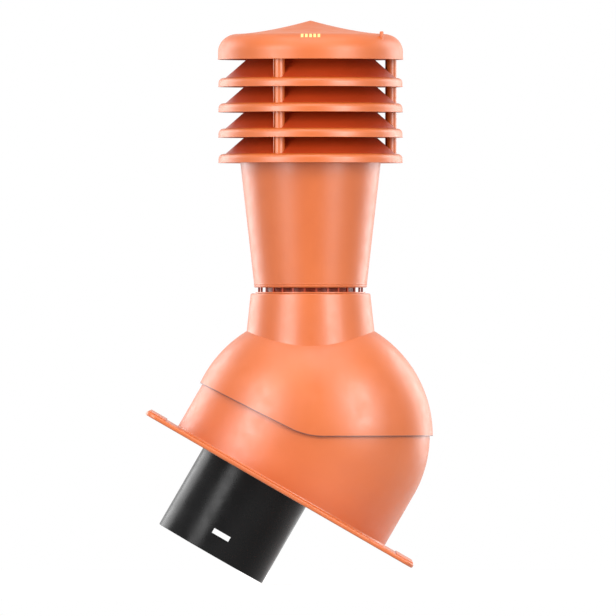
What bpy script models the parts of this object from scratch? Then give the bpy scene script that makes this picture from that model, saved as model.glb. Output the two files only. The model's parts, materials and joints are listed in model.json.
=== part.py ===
"""Roof ventilation chimney for a pitched roof.

A roof plate with a domed shell carries a black duct pipe underneath. A hood with a short neck slides over
the shell, so that the mast on it stands upright on roofs of different pitch. Four louvre rings and a cap
close the mast against rain and let the air out sideways.

Metres, +Z up. The origin is where the mast's axis meets the underside of the roof plate.
"""

import math

import bmesh
import bpy
from mathutils import Matrix, Vector

for old_object in list(bpy.data.objects):
    bpy.data.objects.remove(old_object, do_unlink=True)

# Driving sizes of the roof plate and the lower shell.
ROOF_PITCH = math.radians(30)  # the slope falls towards +X
PLATE_LENGTH = 0.322  # along the slope
PLATE_WIDTH = 0.295
PLATE_THICKNESS = 0.0045
PLATE_CORNER = 0.012
LIP_WIDTH = 0.020  # the raised lips across the plate's two ends
LIP_HEIGHT = 0.0012
LIP_INSET = 0.0015
AXIS_HEIGHT = 0.0668  # tilt axis above the plate's underside
SHELL_RADIUS = 0.1256
SHELL_HALF_DEPTH = 0.0981  # along the tilt axis
SHELL_WALL = 0.0022

# Driving sizes of the duct pipe, a nominal 125 mm.
DUCT_DIAMETER = 0.125
DUCT_WALL = 0.0025
DUCT_DROP = 0.0937  # below the plate's underside
DUCT_RISE = 0.012  # above it, inside the shell
DUCT_SHIFT = 0.0289  # up the slope from under the tilt axis
FLANGE_WIDTH = 0.012
FLANGE_THICKNESS = 0.0025
SLOT_LENGTH = 0.020
SLOT_HEIGHT = 0.007
SLOT_FROM_END = 0.0227  # slot's middle above the pipe's lower end

# Driving sizes of the swivel hood. Heights on the tilting side are above the tilt axis.
TILT_MOST = math.radians(25)  # how far the hood turns towards flatter roofs
HOOD_CLEARANCE = 0.0012
HOOD_WALL = 0.0020
EDGE_DROP = 0.0007  # the hood's level edge under the tilt axis
EDGE_CORNER = 0.0048  # uphill of the axis, where the rising edge starts
EDGE_RISE = math.radians(26.6)
EDGE_FILLET = 0.080
NECK_HEIGHT = 0.1494
NECK_RADIUS = 0.0632  # at its top
NECK_TAPER = 0.1075  # radius gained for each unit of height downwards
NECK_ROUNDING = 0.0018
NECK_ROOT = 0.0729  # inside the dome, where the neck's own shape starts

# Driving sizes of the mast.
MAST_LIFT = 0.0063  # clear gap over the neck
MAST_HEIGHT = 0.1311  # from its foot to the lowest louvre ring
MAST_FOOT_RADIUS = 0.0590
MAST_TOP_RADIUS = 0.0739
MAST_WALL = 0.0022
CROWN_RADIUS = 0.0555
CROWN_WALL = 0.0020
CROWN_DEPTH = 0.0075  # how deep it reaches into the neck
CROWN_SEAT_WIDTH = 0.0023
CROWN_SEAT_HEIGHT = 0.0012
CROWN_WINDOWS = 28
TOOTH_WIDTH = 0.0018
UPSTAND_RADIUS = 0.0435  # bore of the upright tube that stands inside the crown
UPSTAND_WALL = 0.0015
UPSTAND_RISE = 0.0090

# Driving sizes of the louvre rings.
RING_COUNT = 4
RING_RADIUS = 0.0969
RING_PITCH = 0.02667
RING_WALL = 0.0020
RIM_HEIGHT = 0.0095
RIM_ROUNDING = 0.0054
SKIRT_RADIUS = 0.0889  # where the skirt leaves the rim
SKIRT_BORE_RADIUS = 0.0629
SKIRT_SLOPE = math.radians(41.9)
POST_COUNT = 3
POST_RADIUS = 0.0060
POST_CIRCLE = 0.0853
POST_ANGLE = math.radians(7.2)  # the first post, turned from +X towards +Y

# Driving sizes of the cap.
CAP_LIFT = 0.0288  # its rim over the highest ring's rim
CAP_RADIUS = 0.0974
CAP_WALL = 0.0020
CAP_RIM_HEIGHT = 0.0081
CAP_SHOULDER_RADIUS = 0.0770  # where the cone meets the round shoulder
CAP_SHOULDER_HEIGHT = 0.0270
CAP_HEIGHT = 0.0413
CAP_CONE_POWER = 1.5  # above 1 the cone is hollow-sided
PEG_RADIUS = 0.0021
PEG_FOOT = 0.0198  # its ends are above the cap's lower edge
PEG_TOP = 0.0292
PEG_CIRCLE = 0.0896
PEG_ANGLE = math.radians(-33.5)

# Fits and facets.
TOUCH = 0.0003  # gap between pieces that rest on each other
OVERSHOOT = 0.004  # how far a cutter runs past what it cuts
ROUND_STEPS = 32
DOME_SEGMENTS = 32
POST_SEGMENTS = 8
ARC_STEPS = 3
MERGE_DISTANCE = 0.00001
SMOOTH_ANGLE = math.radians(32)

TERRACOTTA = (0.72, 0.155, 0.045, 1.0)
DARK_TERRACOTTA = (0.62, 0.120, 0.035, 1.0)
BLACK_PLASTIC = (0.018, 0.018, 0.019, 1.0)

# Sizes that follow from the driving ones.
TILT_AXIS_Z = AXIS_HEIGHT / math.cos(ROOF_PITCH)
HOOD_RADIUS = SHELL_RADIUS + HOOD_CLEARANCE + HOOD_WALL
HOOD_HALF_DEPTH = SHELL_HALF_DEPTH + HOOD_CLEARANCE + HOOD_WALL
DUCT_RADIUS = DUCT_DIAMETER / 2
MAST_FOOT = NECK_HEIGHT + MAST_LIFT
LOUVRE_FOOT = MAST_FOOT + MAST_HEIGHT
CAP_FOOT = LOUVRE_FOOT + (RING_COUNT - 1) * RING_PITCH + CAP_LIFT
RIM_UNDERSIDE = RIM_HEIGHT - RING_WALL
SKIRT_RUN = 1 / math.tan(SKIRT_SLOPE)  # radius lost for each unit of height
POST_TOP = RING_PITCH + RIM_UNDERSIDE - TOUCH
FACET_ROOM = 1 / math.cos(math.pi / ROUND_STEPS)  # lets a faceted hole clear a full circle

parts_collection = bpy.data.collections.new("roof_ventilation_chimney")
cutters_collection = bpy.data.collections.new("cutters")
bpy.context.scene.collection.children.link(parts_collection)
bpy.context.scene.collection.children.link(cutters_collection)


def plastic(name, colour, roughness):
    """A plain moulded plastic."""
    material = bpy.data.materials.new(name)
    material.use_nodes = True
    shader = material.node_tree.nodes["Principled BSDF"]
    shader.inputs["Base Color"].default_value = colour
    shader.inputs["Roughness"].default_value = roughness
    shader.inputs["Metallic"].default_value = 0.0
    return material


def add_part(name, mesh, parent, material, location=(0, 0, 0)):
    """A sub-part in the object's collection."""
    part = bpy.data.objects.new(name, mesh)
    parts_collection.objects.link(part)
    part.parent = parent
    part.location = location
    mesh.materials.append(material)
    return part


def add_cutter(name, mesh, parent, location=(0, 0, 0), turn=0.0):
    """A shape that only cuts or joins others, turned about its own Y axis."""
    cutter = bpy.data.objects.new(name, mesh)
    cutters_collection.objects.link(cutter)
    cutter.parent = parent
    cutter.location = location
    cutter.rotation_euler = (0, turn, 0)
    cutter.hide_render = True
    cutter.display_type = "WIRE"
    return cutter


def add_empty(name, location, rotation=(0, 0, 0)):
    """A frame that parts are placed in."""
    empty = bpy.data.objects.new(name, None)
    parts_collection.objects.link(empty)
    empty.location = location
    empty.rotation_euler = rotation
    return empty


def profile_mesh(name, points, closed):
    """A profile of (radius, height) points at +X, running down its outer side."""
    mesh = bpy.data.meshes.new(name)
    edges = [(i, i + 1) for i in range(len(points) - 1)]
    if closed:
        edges.append((len(points) - 1, 0))
    mesh.from_pydata([(radius, 0, height) for radius, height in points], edges, [])
    return mesh


def turn_round(part, steps=ROUND_STEPS):
    """Turns a part's profile once round its Z axis."""
    screw = part.modifiers.new("turned", "SCREW")
    screw.axis = "Z"
    screw.angle = math.tau
    screw.steps = steps
    screw.render_steps = steps
    screw.use_merge_vertices = True
    screw.merge_threshold = MERGE_DISTANCE
    return part


def combine(part, other, operation):
    """Cuts a part by another shape, or joins the other shape to it."""
    boolean = part.modifiers.new(f"{operation.lower()}_{other.name}", "BOOLEAN")
    boolean.operation = operation
    boolean.object = other
    boolean.solver = "EXACT"


def mesh_of(name, body):
    """A mesh from a bmesh, which is freed."""
    bmesh.ops.recalc_face_normals(body, faces=body.faces)
    mesh = bpy.data.meshes.new(name)
    body.to_mesh(mesh)
    body.free()
    return mesh


def box_mesh(name, size):
    """A box centred on its origin."""
    body = bmesh.new()
    bmesh.ops.create_cube(body, size=1.0)
    bmesh.ops.scale(body, vec=size, verts=body.verts)
    return mesh_of(name, body)


def cylinder_mesh(name, radius, bottom, top, centres=((0, 0),), segments=ROUND_STEPS):
    """One upright cylinder on each centre."""
    body = bmesh.new()
    for x, y in centres:
        bmesh.ops.create_cone(
            body,
            cap_ends=True,
            segments=segments,
            radius1=radius,
            radius2=radius,
            depth=top - bottom,
            matrix=Matrix.Translation((x, y, (top + bottom) / 2)),
        )
    return mesh_of(name, body)


def oblate_ball(radius, half_depth):
    """A ball flattened along Y, with its poles there."""
    body = bmesh.new()
    bmesh.ops.create_uvsphere(
        body,
        u_segments=DOME_SEGMENTS,
        v_segments=DOME_SEGMENTS // 2,
        radius=1.0,
        matrix=Matrix.Rotation(math.radians(90), 4, "X"),
    )
    bmesh.ops.scale(body, vec=(radius, half_depth, radius), verts=body.verts)
    return body


def domed_mesh(name, radius, half_depth, floor):
    """The upper half of an oblate ball on straight flanks that run down to the floor."""
    body = oblate_ball(radius, half_depth)
    everything = [*body.verts, *body.edges, *body.faces]
    bmesh.ops.bisect_plane(
        body,
        geom=everything,
        dist=MERGE_DISTANCE,
        plane_co=(0, 0, 0),
        plane_no=(0, 0, -1),
        clear_outer=True,
    )
    rim = [edge for edge in body.edges if edge.is_boundary]
    flanks = bmesh.ops.extrude_edge_only(body, edges=rim)
    lowered = [item for item in flanks["geom"] if isinstance(item, bmesh.types.BMVert)]
    bmesh.ops.translate(body, vec=(0, 0, floor), verts=lowered)
    bmesh.ops.holes_fill(body, edges=[edge for edge in body.edges if edge.is_boundary], sides=0)
    return mesh_of(name, body)


def extruded_outline(name, outline, half_width):
    """A flat outline of (x, z) points made into a solid across the Y direction."""
    body = bmesh.new()
    face = body.faces.new([body.verts.new((x, -half_width, z)) for x, z in outline])
    solid = bmesh.ops.extrude_face_region(body, geom=[face])
    moved = [item for item in solid["geom"] if isinstance(item, bmesh.types.BMVert)]
    bmesh.ops.translate(body, vec=(0, 2 * half_width, 0), verts=moved)
    return mesh_of(name, body)


def arc(centre, radii, start, end, steps):
    """Points on an arc of an ellipse, angles from the +X side."""
    points = []
    for step in range(steps + 1):
        angle = start + (end - start) * step / steps
        x = centre[0] + radii[0] * math.cos(angle)
        z = centre[1] + radii[1] * math.sin(angle)
        points.append((x, z))
    return points


def post_centres():
    """The posts' places on their circle."""
    places = []
    for number in range(POST_COUNT):
        angle = POST_ANGLE + number * math.tau / POST_COUNT
        places.append((POST_CIRCLE * math.cos(angle), POST_CIRCLE * math.sin(angle)))
    return places


def settle(part):
    """Replaces a part's modifiers with their result, shaded smooth but for its sharp edges."""
    depsgraph = bpy.context.evaluated_depsgraph_get()
    mesh = bpy.data.meshes.new_from_object(part.evaluated_get(depsgraph))
    body = bmesh.new()
    body.from_mesh(mesh)
    bmesh.ops.remove_doubles(body, verts=body.verts, dist=MERGE_DISTANCE)
    bmesh.ops.dissolve_degenerate(body, dist=MERGE_DISTANCE, edges=body.edges)
    bmesh.ops.triangulate(body, faces=[face for face in body.faces if len(face.verts) > 4])
    body.to_mesh(mesh)
    body.free()
    part.modifiers.clear()
    part.data = mesh
    mesh.name = part.name
    mesh.shade_smooth()
    mesh.set_sharp_from_angle(angle=SMOOTH_ANGLE)


def make_roof_base(slope):
    """The roof plate and the shell on it, one moulding."""
    plate_body = bmesh.new()
    bmesh.ops.create_cube(plate_body, size=1.0)
    bmesh.ops.scale(plate_body, vec=(PLATE_LENGTH, PLATE_WIDTH, PLATE_THICKNESS), verts=plate_body.verts)
    upright = [edge for edge in plate_body.edges if abs(edge.verts[0].co.z - edge.verts[1].co.z) > TOUCH]
    bmesh.ops.bevel(
        plate_body,
        geom=upright,
        offset=PLATE_CORNER,
        offset_type="OFFSET",
        segments=ARC_STEPS,
        profile=0.5,
        affect="EDGES",
    )
    base = add_part(
        "roof_base",
        mesh_of("roof_base", plate_body),
        slope,
        plastic("terracotta_base", TERRACOTTA, 0.42),
        (0, 0, PLATE_THICKNESS / 2),
    )

    lip_height = LIP_HEIGHT + PLATE_THICKNESS / 2
    lip_mesh = box_mesh("end_lip", (LIP_WIDTH, PLATE_WIDTH - 2 * PLATE_CORNER, lip_height))
    lip_place = PLATE_LENGTH / 2 - LIP_INSET - LIP_WIDTH / 2
    for name, side in (("upper_lip", -1), ("lower_lip", 1)):
        middle = PLATE_THICKNESS / 2 + lip_height / 2
        lip = add_cutter(name, lip_mesh, slope, (side * lip_place, 0, middle))
        combine(base, lip, "UNION")

    shell_floor = PLATE_THICKNESS / 2 - AXIS_HEIGHT
    shell = domed_mesh("shell", SHELL_RADIUS, SHELL_HALF_DEPTH, shell_floor)
    combine(base, add_cutter("shell", shell, slope, (0, 0, AXIS_HEIGHT)), "UNION")

    cavity_floor = PLATE_THICKNESS - AXIS_HEIGHT
    cavity = domed_mesh(
        "cavity", SHELL_RADIUS - SHELL_WALL, SHELL_HALF_DEPTH - SHELL_WALL, cavity_floor
    )
    combine(base, add_cutter("cavity", cavity, slope, (0, 0, AXIS_HEIGHT)), "DIFFERENCE")

    combine(base, make_air_opening(slope), "DIFFERENCE")

    hole = cylinder_mesh(
        "duct_hole",
        (DUCT_RADIUS + TOUCH) * FACET_ROOM,
        -OVERSHOOT,
        PLATE_THICKNESS + OVERSHOOT,
    )
    combine(base, add_cutter("duct_hole", hole, slope, (-DUCT_SHIFT, 0, 0)), "DIFFERENCE")
    return base


def make_air_opening(slope):
    """The opening in the shell's top, which the hood covers over its whole tilt."""
    neck_spread = math.asin((NECK_RADIUS + NECK_TAPER * NECK_HEIGHT / 2) / HOOD_RADIUS)
    first = math.radians(90) - neck_spread - TILT_MOST + ROOF_PITCH
    last = math.radians(90) + neck_spread + ROOF_PITCH
    inner = SHELL_RADIUS / 4
    outer = (SHELL_RADIUS + OVERSHOOT) / math.cos((last - first) / 2)
    ends = ((inner, first), (outer, first), (outer, last), (inner, last))
    outline = [(reach * math.cos(angle), reach * math.sin(angle)) for reach, angle in ends]
    opening = extruded_outline("air_opening", outline, NECK_RADIUS)
    return add_cutter("air_opening", opening, slope, (0, 0, AXIS_HEIGHT))


def make_duct_pipe(slope):
    """The duct pipe with its flange, and a slot through its near and far wall."""
    bore = DUCT_RADIUS - DUCT_WALL
    flange_bottom = PLATE_THICKNESS + TOUCH
    flange_top = flange_bottom + FLANGE_THICKNESS
    profile = [
        (DUCT_RADIUS, DUCT_RISE),
        (DUCT_RADIUS, flange_top),
        (DUCT_RADIUS + FLANGE_WIDTH, flange_top),
        (DUCT_RADIUS + FLANGE_WIDTH, flange_bottom),
        (DUCT_RADIUS, flange_bottom),
        (DUCT_RADIUS, -DUCT_DROP),
        (bore, -DUCT_DROP),
        (bore, DUCT_RISE),
    ]
    pipe = add_part(
        "duct_pipe",
        profile_mesh("duct_pipe", profile, closed=True),
        slope,
        plastic("black_duct", BLACK_PLASTIC, 0.38),
        (-DUCT_SHIFT, 0, 0),
    )
    turn_round(pipe)
    slot = box_mesh("duct_slot", (SLOT_LENGTH, DUCT_DIAMETER + 2 * OVERSHOOT, SLOT_HEIGHT))
    slot_place = (-DUCT_SHIFT, 0, SLOT_FROM_END - DUCT_DROP)
    combine(pipe, add_cutter("duct_slot", slot, slope, slot_place), "DIFFERENCE")
    return pipe


def hood_edge_outline():
    """Everything under the hood's lower edge: level downhill, rising uphill, rounded between."""
    reach = HOOD_RADIUS + OVERSHOOT
    tangent = EDGE_FILLET * math.tan(EDGE_RISE / 2)
    centre = (tangent - EDGE_CORNER, EDGE_FILLET - EDGE_DROP)
    down = math.radians(-90)
    rounding = arc(centre, (EDGE_FILLET, EDGE_FILLET), down, down - EDGE_RISE, ARC_STEPS)
    uphill_end = (-reach, (reach - EDGE_CORNER) * math.tan(EDGE_RISE) - EDGE_DROP)
    return [(reach, -reach), (reach, -EDGE_DROP), *rounding, uphill_end, (-reach, -reach)]


def make_swivel_hood(tilt):
    """The hood's dome and its neck, one moulding, open underneath and up through the neck."""
    hood = add_part(
        "swivel_hood",
        mesh_of("swivel_hood", oblate_ball(HOOD_RADIUS, HOOD_HALF_DEPTH)),
        tilt,
        plastic("terracotta_hood", TERRACOTTA, 0.36),
    )
    edge_height = NECK_HEIGHT - NECK_ROUNDING
    root_radius = NECK_RADIUS + NECK_TAPER * (edge_height - NECK_ROOT)
    corner = arc(
        (NECK_RADIUS - NECK_ROUNDING, edge_height),
        (NECK_ROUNDING, NECK_ROUNDING),
        math.radians(90),
        0,
        ARC_STEPS - 1,
    )
    neck_profile = [(0, NECK_HEIGHT), *corner, (root_radius, NECK_ROOT), (0, NECK_ROOT)]
    neck = add_cutter("neck", profile_mesh("neck", neck_profile, closed=False), tilt)
    combine(hood, turn_round(neck), "UNION")

    inside = oblate_ball(HOOD_RADIUS - HOOD_WALL, HOOD_HALF_DEPTH - HOOD_WALL)
    combine(hood, add_cutter("hood_inside", mesh_of("hood_inside", inside), tilt), "DIFFERENCE")

    bore_top = NECK_HEIGHT - HOOD_WALL
    bore_root = NECK_ROOT - OVERSHOOT
    bore_profile = [
        (0, bore_top),
        (NECK_RADIUS - HOOD_WALL, bore_top),
        (NECK_RADIUS - HOOD_WALL + NECK_TAPER * (bore_top - bore_root), bore_root),
        (0, bore_root),
    ]
    bore = add_cutter("neck_bore", profile_mesh("neck_bore", bore_profile, closed=False), tilt)
    combine(hood, turn_round(bore), "DIFFERENCE")

    collar = cylinder_mesh(
        "collar_hole",
        (CROWN_RADIUS + TOUCH) * FACET_ROOM,
        bore_top - OVERSHOOT,
        NECK_HEIGHT + OVERSHOOT,
    )
    combine(hood, add_cutter("collar_hole", collar, tilt), "DIFFERENCE")

    below = extruded_outline("below_edge", hood_edge_outline(), HOOD_HALF_DEPTH + OVERSHOOT)
    combine(hood, add_cutter("below_edge", below, tilt), "DIFFERENCE")
    return hood


def crown_windows_mesh(bottom, top):
    """The windows between the crown's teeth."""
    pitch = math.tau * CROWN_RADIUS / CROWN_WINDOWS
    middle_radius = CROWN_RADIUS - CROWN_WALL / 2
    body = bmesh.new()
    for number in range(CROWN_WINDOWS):
        spin = Matrix.Rotation(number * math.tau / CROWN_WINDOWS, 4, "Z")
        place = Matrix.Translation((middle_radius, 0, (top + bottom) / 2))
        size = Matrix.Diagonal((CROWN_WALL * 2, pitch - TOOTH_WIDTH, top - bottom, 1))
        bmesh.ops.create_cube(body, size=1.0, matrix=spin @ place @ size)
    return mesh_of("crown_windows", body)


def make_mast(tilt):
    """The tapered mast. Its foot stands on a toothed crown with an upright tube inside against rain."""
    collar_height = RIM_UNDERSIDE + (SKIRT_RADIUS - MAST_TOP_RADIUS) / SKIRT_RUN - 2 * RING_WALL
    mast_top = LOUVRE_FOOT + collar_height
    seat_bottom = NECK_HEIGHT + TOUCH
    seat_top = seat_bottom + CROWN_SEAT_HEIGHT
    crown_inside = CROWN_RADIUS - CROWN_WALL
    floor_top = MAST_FOOT + MAST_WALL
    upstand_outside = UPSTAND_RADIUS + UPSTAND_WALL
    upstand_top = seat_bottom + UPSTAND_RISE
    profile = [
        (MAST_TOP_RADIUS, mast_top),
        (MAST_TOP_RADIUS, LOUVRE_FOOT),
        (MAST_FOOT_RADIUS, MAST_FOOT),
        (CROWN_RADIUS, MAST_FOOT),
        (CROWN_RADIUS, seat_top),
        (CROWN_RADIUS + CROWN_SEAT_WIDTH, seat_top),
        (CROWN_RADIUS + CROWN_SEAT_WIDTH, seat_bottom),
        (CROWN_RADIUS, seat_bottom),
        (CROWN_RADIUS, seat_bottom - CROWN_DEPTH),
        (crown_inside, seat_bottom - CROWN_DEPTH),
        (crown_inside, seat_bottom - CROWN_WALL / 2),
        (UPSTAND_RADIUS, seat_bottom - CROWN_WALL / 2),
        (UPSTAND_RADIUS, upstand_top),
        (upstand_outside, upstand_top),
        (upstand_outside, seat_bottom + CROWN_WALL / 2),
        (crown_inside, seat_bottom + CROWN_WALL / 2),
        (crown_inside, floor_top),
        (MAST_FOOT_RADIUS - MAST_WALL, floor_top),
        (MAST_TOP_RADIUS - MAST_WALL, LOUVRE_FOOT),
        (MAST_TOP_RADIUS - MAST_WALL, mast_top),
    ]
    mast = add_part(
        "mast",
        profile_mesh("mast", profile, closed=True),
        tilt,
        plastic("terracotta_mast", TERRACOTTA, 0.36),
    )
    turn_round(mast, CROWN_WINDOWS)
    mast.rotation_euler.z = math.pi / CROWN_WINDOWS  # each window lies in one facet
    windows = add_cutter("crown_windows", crown_windows_mesh(seat_top, MAST_FOOT), tilt)
    combine(mast, windows, "DIFFERENCE")
    return mast


def ring_profile():
    """A louvre ring's section: a rounded rim, and a skirt that rises inwards, both thin-walled."""
    rim_arc = arc(
        (RING_RADIUS - RIM_ROUNDING, RIM_HEIGHT - RIM_ROUNDING),
        (RIM_ROUNDING, RIM_ROUNDING),
        math.radians(90),
        0,
        ARC_STEPS - 1,
    )
    skirt_rise = (SKIRT_RADIUS - SKIRT_BORE_RADIUS) / SKIRT_RUN
    wall_across = RING_WALL * math.sin(SKIRT_SLOPE)
    wall_down = RING_WALL * math.cos(SKIRT_SLOPE)
    inner_start = SKIRT_RADIUS - RING_WALL * math.tan(SKIRT_SLOPE / 2)
    return [
        (SKIRT_BORE_RADIUS, RIM_HEIGHT + skirt_rise),
        (SKIRT_RADIUS, RIM_HEIGHT),
        *rim_arc,
        (RING_RADIUS, 0),
        (RING_RADIUS - RING_WALL, 0),
        (RING_RADIUS - RING_WALL, RIM_UNDERSIDE),
        (inner_start, RIM_UNDERSIDE),
        (SKIRT_BORE_RADIUS - wall_across, RIM_HEIGHT + skirt_rise - wall_down),
    ]


def make_louvre_rings(tilt):
    """Equal louvre rings with three posts each, the highest one first."""
    first = add_part(
        "louvre_ring_1",
        profile_mesh("louvre_ring", ring_profile(), closed=True),
        tilt,
        plastic("terracotta_louvre", DARK_TERRACOTTA, 0.36),
    )
    turn_round(first)
    foot = RIM_UNDERSIDE + RING_WALL / 3
    posts = cylinder_mesh("posts", POST_RADIUS, foot, POST_TOP, post_centres(), POST_SEGMENTS)
    combine(first, add_cutter("posts", posts, tilt), "UNION")
    bpy.context.view_layer.update()
    settle(first)

    rings = [first]
    for number in range(2, RING_COUNT + 1):
        ring = bpy.data.objects.new(f"louvre_ring_{number}", first.data)
        parts_collection.objects.link(ring)
        ring.parent = tilt
        rings.append(ring)
    for index, ring in enumerate(rings):
        ring.location.z = LOUVRE_FOOT + (RING_COUNT - 1 - index) * RING_PITCH
    return rings


def cap_profile(thinner):
    """The cap's section down from its tip, drawn in by a thickness: hollow-sided cone, shoulder, rim."""
    shoulder_height = CAP_SHOULDER_HEIGHT - thinner
    cone_height = CAP_HEIGHT - CAP_SHOULDER_HEIGHT
    points = []
    for share in (0, 0.1, 0.32, 0.62):
        height = shoulder_height + cone_height * (1 - share) ** CAP_CONE_POWER
        points.append((CAP_SHOULDER_RADIUS * share, height))
    shoulder = arc(
        (CAP_SHOULDER_RADIUS, CAP_RIM_HEIGHT),
        (CAP_RADIUS - thinner - CAP_SHOULDER_RADIUS, shoulder_height - CAP_RIM_HEIGHT),
        math.radians(90),
        0,
        ARC_STEPS + 1,
    )
    return points + shoulder


def make_cap(tilt):
    """The hollow cap, with bosses that meet the highest ring's posts and a peg on its shoulder."""
    outline = [*cap_profile(0), (CAP_RADIUS, 0), (0, 0)]
    cap = add_part(
        "cap",
        profile_mesh("cap", outline, closed=False),
        tilt,
        plastic("terracotta_cap", TERRACOTTA, 0.36),
        (0, 0, CAP_FOOT),
    )
    turn_round(cap)

    hollow_radius = CAP_RADIUS - CAP_WALL
    hollow_outline = [*cap_profile(CAP_WALL), (hollow_radius, -OVERSHOOT), (0, -OVERSHOOT)]
    hollow = add_cutter(
        "cap_hollow", profile_mesh("cap_hollow", hollow_outline, closed=False), tilt, (0, 0, CAP_FOOT)
    )
    turn_round(hollow)
    boss_foot = POST_TOP + TOUCH - CAP_LIFT
    bosses = cylinder_mesh(
        "cap_bosses", POST_RADIUS, boss_foot, CAP_HEIGHT, post_centres(), POST_SEGMENTS
    )
    combine(hollow, add_cutter("cap_bosses", bosses, tilt, (0, 0, CAP_FOOT)), "DIFFERENCE")
    combine(cap, hollow, "DIFFERENCE")

    peg_place = (PEG_CIRCLE * math.cos(PEG_ANGLE), PEG_CIRCLE * math.sin(PEG_ANGLE))
    peg = cylinder_mesh("peg", PEG_RADIUS, PEG_FOOT, PEG_TOP, (peg_place,), POST_SEGMENTS)
    combine(cap, add_cutter("peg", peg, tilt, (0, 0, CAP_FOOT)), "UNION")
    return cap


slope_frame = add_empty(
    "roof_slope",
    Vector((0, 0, TILT_AXIS_Z)) - AXIS_HEIGHT * Vector((math.sin(ROOF_PITCH), 0, math.cos(ROOF_PITCH))),
    (0, ROOF_PITCH, 0),
)
tilt_frame = add_empty("tilt_axis", (0, 0, TILT_AXIS_Z))

fixed_parts = [make_roof_base(slope_frame), make_duct_pipe(slope_frame)]
make_louvre_rings(tilt_frame)
tilting_parts = [make_swivel_hood(tilt_frame), make_mast(tilt_frame), make_cap(tilt_frame)]

bpy.context.view_layer.update()
for finished in fixed_parts + tilting_parts:
    settle(finished)
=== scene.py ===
# %% [markdown]
# # Roof ventilation chimney
#
# A moulded plastic vent for a pitched roof, shown as it would stand on a slope, without the roof. This
# lesson dresses a finished CAD model: each plain CAD solid is replaced by a finely made piece of the same
# size in the same place, and everything gets a procedural material.
#
# The frame comes first, because every size below is read from it or set against it.

# %% Load the CAD frame
import json
import math

import bpy
from mathutils import Matrix, Vector


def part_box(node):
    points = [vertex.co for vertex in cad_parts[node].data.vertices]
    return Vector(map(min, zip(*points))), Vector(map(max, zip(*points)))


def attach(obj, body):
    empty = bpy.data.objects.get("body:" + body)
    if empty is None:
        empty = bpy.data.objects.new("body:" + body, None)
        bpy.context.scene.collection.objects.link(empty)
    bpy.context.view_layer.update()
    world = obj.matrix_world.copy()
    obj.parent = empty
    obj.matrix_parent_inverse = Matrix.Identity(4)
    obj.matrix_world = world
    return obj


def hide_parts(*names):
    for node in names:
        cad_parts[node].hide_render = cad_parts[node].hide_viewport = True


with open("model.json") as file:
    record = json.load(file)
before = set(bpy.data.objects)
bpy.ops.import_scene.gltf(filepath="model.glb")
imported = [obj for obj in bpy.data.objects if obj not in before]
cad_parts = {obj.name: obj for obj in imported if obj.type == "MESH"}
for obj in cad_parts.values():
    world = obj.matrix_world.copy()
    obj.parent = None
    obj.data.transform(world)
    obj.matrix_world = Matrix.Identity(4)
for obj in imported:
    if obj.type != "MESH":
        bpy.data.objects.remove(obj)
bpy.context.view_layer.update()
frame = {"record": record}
tilt_joint = frame["record"]["behaviour"]["joints"][0]
TILT_AXIS = Vector(tilt_joint["pos_m"])
print("tilt axis at", tuple(TILT_AXIS))

# %% [markdown]
# ## The view
#
# The photograph is taken level and from far away, square to the side of the slope: every rim shows as a
# straight line. A very long lens on a distant camera gives that flat look. The frame's width in metres
# comes from one scale, the size of a photograph's pixel on the object, so a position in the picture can
# be turned into a place on the model.

# %% Camera
PIXEL = 0.001053  # metres on the object for one pixel of the photograph
PHOTO_SIDE = 616
MAST_COLUMN = 310.5  # the mast's axis in the photograph
SEAT_ROW = 508.6  # the model's origin in the photograph
LENS = 1200

camera_data = bpy.data.cameras.new("camera")
camera_data.lens = LENS
camera = bpy.data.objects.new("camera", camera_data)
bpy.context.scene.collection.objects.link(camera)
distance = PHOTO_SIDE * PIXEL * LENS / camera_data.sensor_width
middle_x = (PHOTO_SIDE / 2 - MAST_COLUMN) * PIXEL
middle_z = (SEAT_ROW - PHOTO_SIDE / 2) * PIXEL
camera.location = (middle_x, -distance, middle_z)
camera.rotation_euler = (math.radians(90), 0, 0)
camera_data.clip_end = distance * 20
bpy.context.scene.camera = camera
print("camera distance", round(distance, 2), "m")

# %% [markdown]
# ## Helpers for modelling by hand
#
# Most of this object is turned: rings, cap, mast and pipe. On the real thing each is one injection
# moulding with an even wall. A turned shape could be spun from a profile, but extruding one circle from
# point to point of its section keeps every ring of edges clean and needs no profile object, so that is
# the way here.
#
# The operators act on whatever is selected, so each helper first deselects everything.

# %% Selection, booleans and the lathe
MERGE = 0.00002
SHARP_ANGLE = math.radians(50)
SMOOTH_ANGLE = math.radians(32)


def take(piece):
    """Selects one piece alone and makes it active."""
    bpy.ops.object.select_all(action="DESELECT")
    piece.select_set(True)
    bpy.context.view_layer.objects.active = piece


def to_world(piece):
    """Moves a piece's place, turn and scale into its mesh."""
    take(piece)
    bpy.ops.object.transform_apply(location=True, rotation=True, scale=True)


def select_faces(piece, wanted):
    """Selects the faces of a mesh that pass a test, and no others."""
    take(piece)
    bpy.ops.object.mode_set(mode="EDIT")
    bpy.ops.mesh.select_all(action="DESELECT")
    bpy.ops.object.mode_set(mode="OBJECT")
    for face in piece.data.polygons:
        face.select = wanted(face)


def cut_away(piece, unwanted):
    """Deletes the faces of a mesh that pass a test."""
    select_faces(piece, unwanted)
    bpy.ops.object.mode_set(mode="EDIT")
    bpy.ops.mesh.delete(type="FACE")
    bpy.ops.object.mode_set(mode="OBJECT")


def arc(centre, radii, start, end, steps):
    """Points on an elliptical arc, angles in degrees from the outward side."""
    points = []
    for step in range(steps + 1):
        angle = math.radians(start + (end - start) * step / steps)
        points.append((centre[0] + radii[0] * math.cos(angle), centre[1] + radii[1] * math.sin(angle)))
    return points


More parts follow.
